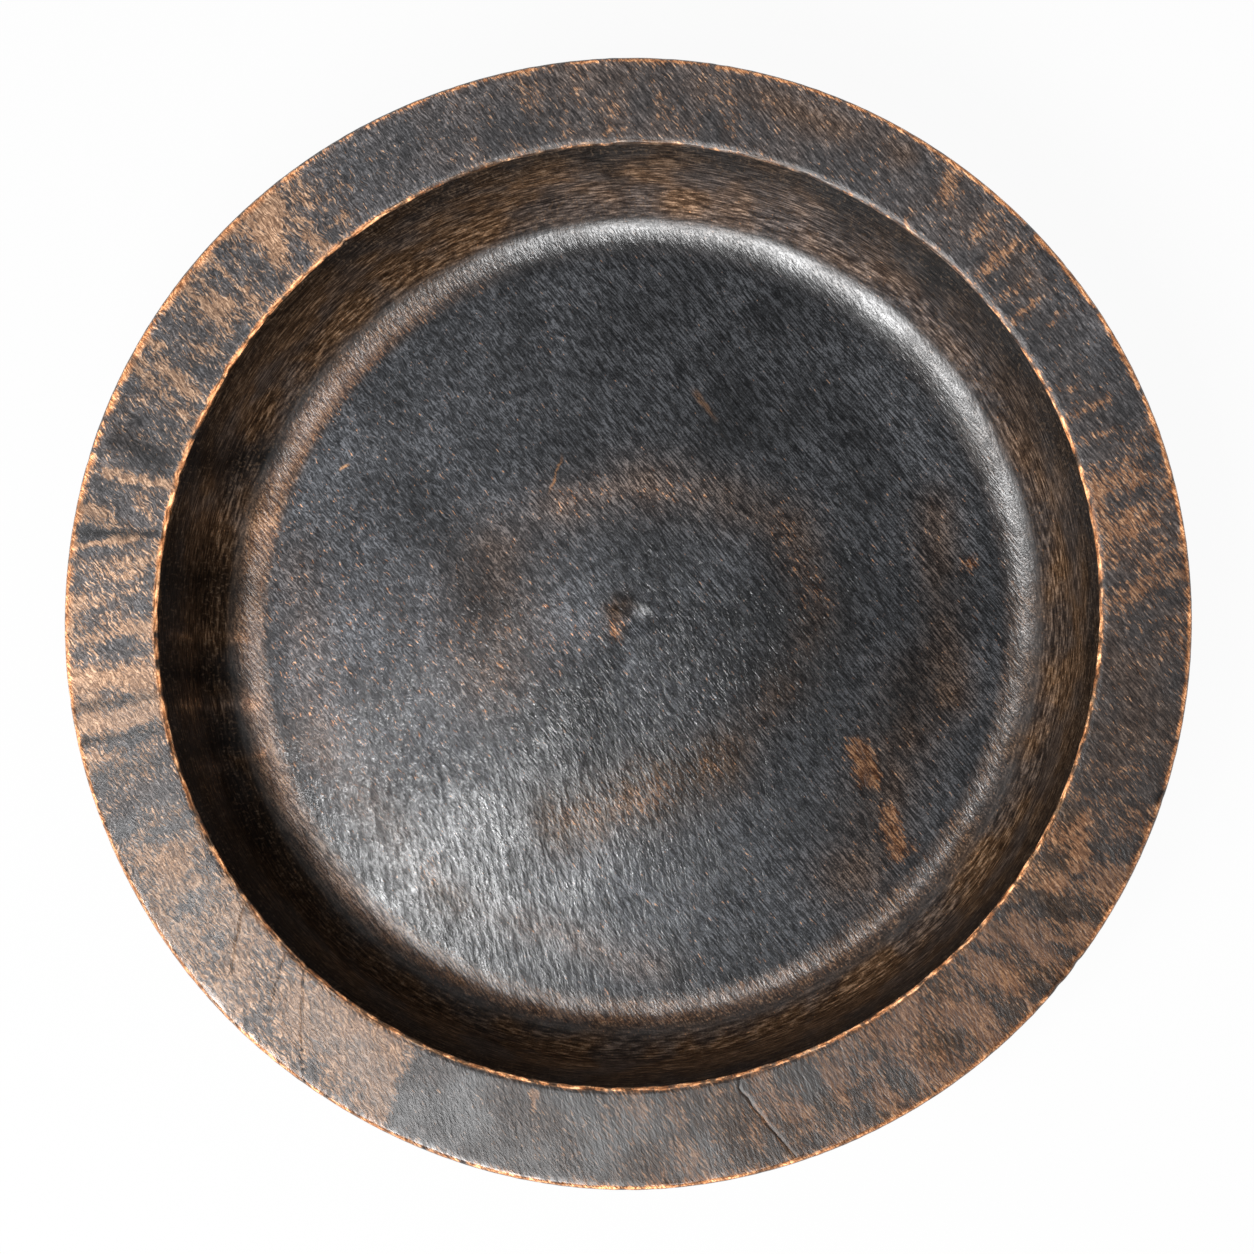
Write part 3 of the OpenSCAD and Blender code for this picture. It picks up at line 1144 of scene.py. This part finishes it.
@dataclass(frozen=True)
class Scratch:
    """A straight scratch in the floor or fine crack in the rim.

    Attributes:
        start: Place of one end in the plan, in mm.
        end: Place of the other end.
        width: Half its width, in mm.
        colour: Colour at its middle.
        sway: How far it strays from the straight line, in metres.
        sway_rate: Bends to the metre.
    """

    start: Spot
    end: Spot
    width: float
    colour: tuple[float, float, float]
    sway: float = 0.0022
    sway_rate: float = 260.0

    def draw(self, graph: Graph, place: Socket, stroke: Socket, under: Socket) -> Socket:
        """Draw the scratch over a colour.

        Args:
            graph: Graph of the material.
            place: Place on the bowl.
            stroke: The grain, which breaks the scratch up.
            under: Colour of the floor.

        Returns:
            The colour with the scratch on it.
        """
        way = (Vector(self.end) - Vector(self.start)) * MM
        along = Vector((way.x, way.y, 0.0)).normalized()
        half = self.sway / 2
        begin = (self.start[0] * MM + half, self.start[1] * MM + half, 0.0)
        stray = graph.scale(graph.noise(place, self.sway_rate, 1.0).outputs["Color"], self.sway)
        local = graph.vector("SUBTRACT", graph.vector("ADD", place, stray), begin)
        off = graph.measure(local, (-along.y, along.x, 0.0))
        near = graph.ease(graph.math("ABSOLUTE", off), 0.0, self.width * 2.0 * MM, 0.75, 0.0)
        middle = way.length / 2
        held = graph.ease(graph.gap(graph.measure(local, along), middle), middle * 0.3, middle, 1.0, 0.0)
        shown = graph.times(graph.times(near, held), graph.ease(stroke, 0.42, 0.52, 0.25, 1.15))
        return graph.tint(shown, under, (*self.colour, 1.0))


@dataclass(frozen=True)
class WornStain:
    """Charcoal stain and wax on hardwood, worn through to orange-brown wood in flecks along the grain.

    Attributes:
        grain_turn: Turn that brings the grain of the flat faces along X.
        scrape_turn: The same for the scraped strokes on the floor.
        flat_grain: Strokes to the metre along and across the grain on the flat faces.
        hair_grain: Hairlines to the metre along and across the grain.
        cut_grain: Dark cuts to the metre along and across the grain.
        mesh_grain: The same where the grain is wild.
        fleck_grain: Flecks of bare wood to the metre along and across the grain.
        scrape_grain: Broad scraped strokes to the metre along and across the grain.
        turned_grain: Strokes to the metre round the bowl and across the turned faces.
        speck_grain: Specks to the metre along and up the turned faces.
        pore_rate: Pores to the metre.
        cloud_rate: Cloudy patches to the metre.
        sway_rate: Bends of the grain to the metre.
        break_rate: Breaks of the hairlines to the metre.
        relief: Height of the grain, in metres.
        slate: Stain on the flat faces, from the ground to the strokes.
        umber: Stain on the turned faces.
        tan: Bare wood that has greyed.
        rust: Bare wood that is rubbed fresh, on edges and in the hollow.
        darkening_left: Share of the light that full soot or painted shade leaves.
        scratches: Single scratches and fine cracks.
    """

    grain_turn: float = math.radians(50.0)
    scrape_turn: float = math.radians(76.0)
    flat_grain: Spot = (220.0, 1700.0)
    hair_grain: Spot = (75.0, 1200.0)
    cut_grain: Spot = (50.0, 560.0)
    mesh_grain: Spot = (560.0, 900.0)
    fleck_grain: Spot = (330.0, 1400.0)
    scrape_grain: Spot = (140.0, 650.0)
    turned_grain: Spot = (190.0, 1000.0)
    speck_grain: Spot = (1000.0, 330.0)
    pore_rate: float = 1500.0
    cloud_rate: float = 42.0
    sway_rate: float = 220.0
    break_rate: float = 330.0
    relief: float = 0.0002
    slate: Stops = (
        (0.36, (0.0085, 0.0089, 0.0098)),
        (0.46, (0.0200, 0.0209, 0.0228)),
        (0.54, (0.0350, 0.0364, 0.0396)),
        (0.66, (0.0780, 0.0810, 0.0880)),
    )
    umber: Stops = (
        (0.36, (0.0100, 0.0052, 0.0027)),
        (0.46, (0.0260, 0.0140, 0.0072)),
        (0.54, (0.0500, 0.0280, 0.0150)),
        (0.66, (0.1400, 0.0860, 0.0510)),
    )
    tan: Stops = (
        (0.36, (0.0750, 0.0450, 0.0270)),
        (0.46, (0.1300, 0.0830, 0.0530)),
        (0.54, (0.1950, 0.1310, 0.0870)),
        (0.66, (0.3400, 0.2450, 0.1700)),
    )
    rust: Stops = (
        (0.36, (0.0500, 0.0180, 0.0065)),
        (0.46, (0.1200, 0.0480, 0.0190)),
        (0.54, (0.2200, 0.0980, 0.0420)),
        (0.66, (0.4300, 0.2300, 0.1150)),
    )
    darkening_left: float = 0.165
    scratches: tuple[Scratch, ...] = (
        Scratch((17.5, 1.5), (33.0, -25.5), 0.35, (0.008, 0.008, 0.009)),
        Scratch((21.5, 88.5), (32.5, 73.5), 0.85, (0.130, 0.070, 0.037)),
        Scratch((31.5, 75.0), (37.5, 63.5), 0.70, (0.010, 0.010, 0.010)),
        Scratch((-25.5, 64.5), (-31.5, 47.0), 0.35, (0.190, 0.095, 0.045)),
        Scratch((-106.5, 60.5), (-111.0, 57.0), 0.40, (0.260, 0.140, 0.070)),
        Scratch((86.0, 26.0), (98.0, -8.0), 0.45, (0.013, 0.013, 0.014)),
        Scratch((80.5, 30.0), (92.0, -2.0), 0.35, (0.060, 0.062, 0.068)),
        Scratch((-52.0, -30.0), (-44.0, -48.0), 0.45, (0.012, 0.012, 0.013)),
        Scratch((-115.0, -144.0), (-100.0, -156.0), 0.30, (0.040, 0.042, 0.047)),
        Scratch((-122.0, -141.0), (-114.0, -145.0), 0.28, (0.040, 0.042, 0.047)),
        Scratch((-118.0, -131.0), (-126.0, -147.0), 0.28, (0.040, 0.042, 0.047)),
        Scratch((-107.0, -137.0), (-96.0, -146.0), 0.28, (0.045, 0.047, 0.052)),
    )

    def dress(self) -> bpy.types.Material:
        """Make the material.

        Returns:
            The material.
        """
        made = bpy.data.materials.new("worn_charcoal_stain")
        made.use_nodes = True
        graph = Graph(made.node_tree)
        ease, line, times = graph.ease, graph.line, graph.times
        place = graph.node("TexCoord").outputs["Object"]
        bare, brown, soot = (graph.value(wear.value) for wear in Wear)
        names = ("fibre", "edge", "swirl", "polish", "fresh", "wax", "scraped")
        fibre, edge, swirl, polish, fresh, wax, scraped = (graph.value(name) for name in names)

        grain = self.grain(graph, place, swirl, self.grain_turn)
        crisp = ease(graph.math("SUBTRACT", polish, swirl), 0.3, 1.0)
        flat = self.flat_strokes(graph, grain, swirl, polish, crisp)
        pores = line(graph.noise(place, self.pore_rate, 1.0).outputs[0], 0.44, -0.22)
        pores = times(pores, line(crisp, 0.55, 0.45))
        stroke = graph.math("ADD", graph.blend(fibre, flat, self.turned_strokes(graph, place)), pores)
        fleck = self.strokes(graph, grain, self.fleck_grain, 2.0)
        cloud = graph.noise(place, self.cloud_rate, 4.0).outputs[0]

        gone = times(graph.math("ADD", bare, edge), ease(cloud, 0.30, 0.70, 0.70, 1.30))
        rub = line(stroke, 0.6, line(fleck, 2.0, gone))
        flecks = times(ease(rub, 1.65, 1.86, 0.0, 0.82), ease(wax, 0.0, 1.0, 1.0, 0.45))
        thin = line(wax, 0.55, ease(polish, 0.0, 1.0, 0.60, 0.75))
        mask = graph.math("MAXIMUM", times(ease(gone, 0.0, 1.5), thin), flecks)
        mask = line(edge, 0.15, mask)

        wash = times(brown, ease(cloud, 0.35, 0.65, 1.25, 0.6))
        stain = graph.tint(wash, graph.ramp(stroke, self.slate), graph.ramp(stroke, self.umber))
        grey = graph.ramp(stroke, self.tan)
        colour = graph.tint(mask, stain, graph.tint(fresh, grey, graph.ramp(stroke, self.rust)))
        for scratch in self.scratches:
            colour = scratch.draw(graph, place, stroke, colour)
        # Soot and painted shade darken the colour here; below zero, painted light makes it lighter.
        left = graph.math("POWER", self.darkening_left, soot)
        shade = graph.scale(colour, times(left, ease(cloud, 0.3, 0.7, 1.3, 0.75)))
        around_wall, up_wall = self.speck_grain
        specks = graph.vector("MULTIPLY", place, (around_wall, around_wall, up_wall))
        specks = ease(graph.noise(specks, 1.0, 0.0).outputs[0], 0.60, 0.72, 0.0, 0.45)
        shade = graph.tint(times(specks, fibre), shade, grey)

        scrape_grain = self.grain(graph, place, swirl, self.scrape_turn)
        scrape = self.strokes(graph, scrape_grain, self.scrape_grain, 2.0)
        # Painted shade in the crevices between the scraped strokes, where the sheen falls.
        painted_crevice_shade = times(scraped, ease(scrape, 0.36, 0.52, 1.0, 0.0))
        shade = graph.scale(shade, line(painted_crevice_shade, -0.6, 1.0))
        press = line(wax, 0.30, line(polish, -0.24, 0.56))
        press = line(scraped, 0.30, press)
        height = line(scrape, 1.2, stroke)
        bump = graph.node("Bump", {"Strength": press, "Distance": self.relief, "Height": height})
        dull = line(polish, -0.13, ease(stroke, 0.3, 0.7, 0.32, 0.25))
        rough = line(mask, 0.06, line(wax, 0.13, dull))
        gloss = self.gloss(graph, stroke, scrape, cloud, wash)
        varnish = graph.node("BsdfPrincipled", {
            "Base Color": shade,
            "Roughness": rough,
            "Specular IOR Level": gloss,
            "Normal": bump.outputs[0],
        })
        graph.node("OutputMaterial", {"Surface": varnish.outputs[0]})
        return made

    def flat_strokes(
        self, graph: Graph, grain: Socket, swirl: Socket, polish: Socket, crisp: Socket
    ) -> Socket:
        """Draw the strokes, hairlines and dark cuts of the flat faces.

        Args:
            graph: Graph of the material.
            grain: Place, turned to the grain.
            swirl: How wild the grain is there.
            polish: How polished the face is.
            crisp: 1 where the grain is straight and polished.

        Returns:
            Numbers about 0.5.
        """
        ease, line, times = graph.ease, graph.line, graph.times
        hairs = times(self.hairlines(graph, grain, swirl), ease(polish, 0.0, 1.0, 0.07, 0.13))
        cut = graph.gap(self.strokes(graph, grain, self.cut_grain, 1.0), 0.5)
        cut = ease(cut, 0.0, 0.08, 1.0, 0.0)
        hairs = line(times(cut, crisp), -0.12, hairs)
        deep = line(crisp, 0.20, line(swirl, 0.15, 0.60))
        hairs = graph.math("ADD", hairs, line(deep, -0.5, 0.485))
        hairs = line(crisp, 0.03, hairs)
        return line(self.strokes(graph, grain, self.flat_grain, 2.0), deep, hairs)

    def gloss(self, graph: Graph, stroke: Socket, scrape: Socket, cloud: Socket, wash: Socket) -> Socket:
        """Work out how strongly each place shines.

        Args:
            graph: Graph of the material.
            stroke: The grain.
            scrape: The scraped strokes.
            cloud: Cloudy patches.
            wash: Brown in the stain, which shines less.

        Returns:
            The level of the shine.
        """
        ease, line, times = graph.ease, graph.line, graph.times
        polish, wax, scraped = (graph.value(name) for name in ("polish", "wax", "scraped"))
        satin = ease(polish, -0.6, 0.0, 0.1, 0.5)
        shine = graph.math("ADD", satin, ease(polish, 1.0, 1.2, 0.0, 0.6))
        shine = line(wax, 0.70, shine)
        flake = times(ease(scrape, 0.36, 0.62, 0.55, 1.5), line(scraped, 0.45, 0.74))
        flaky = graph.blend(line(wax, -0.7, polish), 1.0, flake)
        matt = times(line(wash, -0.2, 1.0), flaky)
        matt = times(matt, ease(cloud, 0.32, 0.68, 0.75, 1.30))
        pits = graph.blend(wax, 1.0, ease(stroke, 0.38, 0.60, 0.80, 1.45))
        return times(times(shine, matt), pits)

    def grain(self, graph: Graph, place: Socket, swirl: Socket, angle: float) -> Socket:
        """Turn places to the grain and let them sway a little.

        Args:
            graph: Graph of the material.
            place: Place on the bowl.
            swirl: How wavy the grain is there.
            angle: Turn that brings the grain along X.

        Returns:
            The place along and across the grain.
        """
        turned = graph.node("VectorRotate", {"Vector": place, "Angle": angle}, rotation_type="Z_AXIS")
        bends = graph.noise(place, self.sway_rate, 1.0).outputs["Color"]
        sway = graph.vector("SUBTRACT", bends, (0.5, 0.5, 0.5))
        bent = graph.scale(sway, graph.line(swirl, 0.0023, 0.0002))
        return graph.vector("ADD", turned.outputs[0], bent)

    def hairlines(self, graph: Graph, grain: Socket, swirl: Socket) -> Socket:
        """Draw thin broken lines where a stretched cloudy pattern crosses its middle.

        Args:
            graph: Graph of the material.
            grain: Place, turned to the grain.
            swirl: How wild the grain is there.

        Returns:
            1 on the lines, 0 off them.
        """
        straight = self.strokes(graph, grain, self.hair_grain, 0.0)
        wild = self.strokes(graph, grain, self.mesh_grain, 0.0)
        line = graph.ease(graph.gap(graph.blend(swirl, straight, wild), 0.5), 0.0, 0.11, 1.0, 0.0)
        shown = graph.ease(graph.noise(grain, self.break_rate, 1.0).outputs[0], 0.38, 0.58)
        return graph.times(line, shown)

    def strokes(self, graph: Graph, grain: Socket, pitch: Spot, detail: float) -> Socket:
        """Draw short strokes along the grain.

        Args:
            graph: Graph of the material.
            grain: Place, turned to the grain.
            pitch: Strokes to the metre along and across the grain.
            detail: Octaves of detail.

        Returns:
            Numbers about 0.5.
        """
        drawn = graph.vector("MULTIPLY", grain, (pitch[0], pitch[1], pitch[1]))
        return graph.noise(drawn, 1.0, detail, 0.6).outputs[0]

    def turned_strokes(self, graph: Graph, place: Socket) -> Socket:
        """Draw fibres round the turned faces.

        Args:
            graph: Graph of the material.
            place: Place on the bowl.

        Returns:
            Numbers about 0.5.
        """
        parts = graph.node("SeparateXYZ", {0: place})
        pitch = self.turned_grain
        flat = [graph.times(parts.outputs[i], pitch[0]) for i in (0, 1)]
        run = graph.times(graph.value("run"), pitch[1])
        drawn = graph.node("CombineXYZ", {0: flat[0], 1: flat[1], 2: run}).outputs[0]
        return graph.line(graph.noise(drawn, 1.0, 2.0, 0.6).outputs[0], 0.85, 0.07)


@dataclass(frozen=True)
class Softbox:
    """A soft lamp that looks at the bowl.

    Attributes:
        name: Name of the lamp.
        azimuth: Where it stands, in degrees anticlockwise from the right of the picture.
        elevation: How high it stands, in degrees above the table.
        distance: How far away it stands, in metres.
        size: Width and height, in metres.
        power: Power, in watts.
    """

    name: str
    azimuth: float
    elevation: float
    distance: float
    size: Spot
    power: float

    def build(self, target: Vector) -> bpy.types.Object:
        """Place the lamp.

        Args:
            target: The point it looks at.

        Returns:
            The lamp.
        """
        lamp = bpy.data.lights.new(self.name, "AREA")
        lamp.shape = "RECTANGLE"
        lamp.size, lamp.size_y = self.size
        lamp.energy = self.power
        turn, rise = math.radians(self.azimuth), math.radians(self.elevation)
        away_from = Vector((math.cos(rise) * math.cos(turn), math.cos(rise) * math.sin(turn), math.sin(rise)))
        stand = bpy.data.objects.new(self.name, lamp)
        stand.location = target + away_from * self.distance
        stand.rotation_euler = away_from.to_track_quat("Z", "Y").to_euler()
        bpy.context.scene.collection.objects.link(stand)
        return stand


@dataclass
class Studio:
    """A pale floor that curves up into a backdrop, two soft lamps, faint fill and the camera.

    Attributes:
        floor_r: Radius of the flat floor, in metres.
        sweep_r: Radius of the curve up to the backdrop, in metres.
        wall_h: Height of the backdrop above the curve, in metres.
        fill: Strength of the light from all round.
        shadow_share: How much of the floor's look is lit, so that it keeps the bowl's shadow.
        eye: Where the camera stands, in metres.
        aim: What it looks at.
        lens: Focal length on a 36 mm sensor.
        lamps: The two soft lamps.
    """

    floor_r: float = 9.0
    sweep_r: float = 2.0
    wall_h: float = 3.0
    fill: float = 0.15
    shadow_share: float = 0.05
    eye: tuple[float, float, float] = (0.105, -0.009, 1.072)
    aim: tuple[float, float, float] = (0.0038, -0.0019, 0.072)
    lens: float = 81.8
    lamps: tuple[Softbox, ...] = (
        Softbox("high_softbox", 211.0, 74.5, 1.5, (0.12, 0.12), 2.1),
        Softbox("low_softbox", 238.0, 57.0, 1.5, (1.1, 0.7), 22.0),
    )

    def paper(self) -> bpy.types.Material:
        """Make the floor's material, which looks white and keeps a faint shadow.

        Returns:
            The material.
        """
        made = bpy.data.materials.new("white_paper")
        made.use_nodes = True
        graph = Graph(made.node_tree)
        path = graph.node("LightPath")
        seen = graph.math("MAXIMUM", path.outputs["Is Camera Ray"], path.outputs["Is Glossy Ray"])
        seen = graph.math("MAXIMUM", seen, path.outputs["Is Transmission Ray"])
        lit = graph.node("BsdfDiffuse", {"Color": (0.86, 0.86, 0.86, 1.0)})
        glow = graph.node("Emission", {"Color": (1.0, 1.0, 1.0, 1.0), "Strength": 1.0})
        white = graph.node("MixShader", {0: self.shadow_share, 1: glow.outputs[0], 2: lit.outputs[0]})
        paper = graph.node("MixShader", {0: seen, 1: lit.outputs[0], 2: white.outputs[0]})
        graph.node("OutputMaterial", {"Surface": paper.outputs[0]})
        return made

    def build_floor(self) -> bpy.types.Object:
        """Make the floor and backdrop as one turned sheet.

        Returns:
            The floor's object.
        """
        segments, arc = 96, 12
        below = -0.0003
        profile = [(1.0, below), (self.floor_r, below)]
        for k in range(1, arc + 1):
            turn = math.pi / 2 * k / arc
            rise = self.sweep_r * (1 - math.cos(turn))
            profile.append((self.floor_r + self.sweep_r * math.sin(turn), below + rise))
        profile.append((self.floor_r + self.sweep_r, self.sweep_r + self.wall_h))
        points = [(0.0, 0.0, below)]
        for r, z in profile:
            for j in range(segments):
                turn = math.tau * j / segments
                points.append((r * math.cos(turn), r * math.sin(turn), z))
        faces = [(0, 1 + j, 1 + (j + 1) % segments) for j in range(segments)]
        for i in range(len(profile) - 1):
            for j in range(segments):
                a, b = 1 + i * segments, 1 + (i + 1) * segments
                on = (j + 1) % segments
                faces.append((a + j, b + j, b + on, a + on))
        mesh = bpy.data.meshes.new("studio_floor")
        mesh.from_pydata(points, [], faces)
        mesh.shade_smooth()
        mesh.materials.append(self.paper())
        floor = bpy.data.objects.new("studio_floor", mesh)
        bpy.context.scene.collection.objects.link(floor)
        return floor

    def build_world(self) -> None:
        """Light the scene faintly from all round."""
        world = bpy.data.worlds.new("soft_fill")
        world.use_nodes = True
        graph = Graph(world.node_tree)
        sky = graph.node("Background", {"Color": (0.96, 0.98, 1.0, 1.0), "Strength": self.fill})
        graph.node("OutputWorld", {"Surface": sky.outputs[0]})
        bpy.context.scene.world = world

    def build_camera(self) -> bpy.types.Object:
        """Stand the camera above the bowl with the picture's up along +Y.

        Returns:
            The camera.
        """
        data = bpy.data.cameras.new("camera")
        data.lens = self.lens
        data.sensor_width = 36.0
        data.clip_end = 40.0
        camera = bpy.data.objects.new("camera", data)
        forward = (Vector(self.aim) - Vector(self.eye)).normalized()
        right = forward.cross(Vector((0.0, 1.0, 0.0))).normalized()
        up = right.cross(forward)
        turn = Matrix((right, up, -forward)).transposed().to_4x4()
        camera.matrix_world = Matrix.Translation(self.eye) @ turn
        bpy.context.scene.collection.objects.link(camera)
        bpy.context.scene.camera = camera
        return camera

    def build(self, target: Vector) -> None:
        """Set up the camera, the floor and the light.

        Args:
            target: The point that the lamps look at.
        """
        self.build_camera()
        self.build_floor()
        self.build_world()
        for lamp in self.lamps:
            lamp.build(target)
        bpy.context.scene.view_settings.view_transform = "Standard"


def main() -> None:
    """Build the bowl and the studio in order."""
    logging.basicConfig(level=logging.INFO)
    low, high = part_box("bowl")
    section = Section(rim_r=(high.x - low.x) / 2 / MM, bowl_h=(high.z - low.z) / MM)
    bowl = DoughBowl(section).build()
    bowl.data.materials.append(WornStain().dress())
    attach(bowl, "root")
    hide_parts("bowl")
    log.info("%s: %d faces", bowl.name, len(bowl.data.polygons))
    Studio().build((low + high) / 2)


if __name__ == "__main__":
    main()
